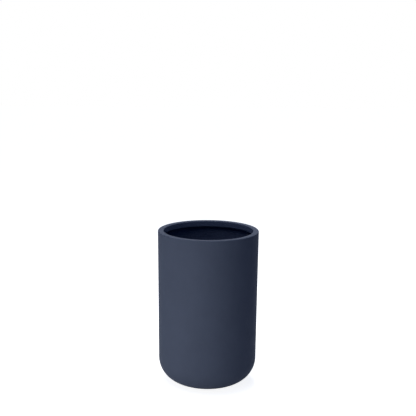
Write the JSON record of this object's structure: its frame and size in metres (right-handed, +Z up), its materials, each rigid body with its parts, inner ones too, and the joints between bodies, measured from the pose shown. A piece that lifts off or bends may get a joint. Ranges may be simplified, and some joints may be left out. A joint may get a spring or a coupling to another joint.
{
  "type": "tall round planter",
  "caption": "Tall round laminated planter with a thick turned-in rim, big bottom rounds, a drain plug, a lift-out shelf and rubber feet.",
  "frame": {"origin": "on the floor, at the centre of the footprint", "axes": "+Z up, along the planter's axis; the shelf's two finger slots lie at +X and -X"},
  "size_m": [0.392, 0.392, 0.61],
  "materials": {
    "painted_laminate": "satin blue-grey paint on glass-fibre laminate",
    "bare_laminate": "painted-over glass-fibre laminate with mat texture",
    "shelf_plastic": "matte moulded plastic",
    "plug_rubber": "matte black rubber",
    "foot_rubber": "matte black rubber"
  },
  "bodies": {
    "planter": {"outer_shell": "painted_laminate", "shelf_bracket_1": "bare_laminate", "shelf_bracket_2": "bare_laminate", "shelf_bracket_3": "bare_laminate", "shelf_bracket_4": "bare_laminate", "foot_pad_1": "foot_rubber", "foot_pad_2": "foot_rubber", "foot_pad_3": "foot_rubber", "foot_pad_4": "foot_rubber"},
    "shelf": {"insert_shelf": "shelf_plastic"},
    "plug": {"drain_plug": "plug_rubber"}
  },
  "joints": [
    {"name": "shelf_lift", "type": "slide", "parent": "planter", "child": "shelf", "axis": [0, 0, 1], "range_m": [0, 0.33]},
    {"name": "plug_pull", "type": "slide", "parent": "planter", "child": "plug", "axis": [0, 0, 1], "range_m": [0, 0.15]}
  ]
}
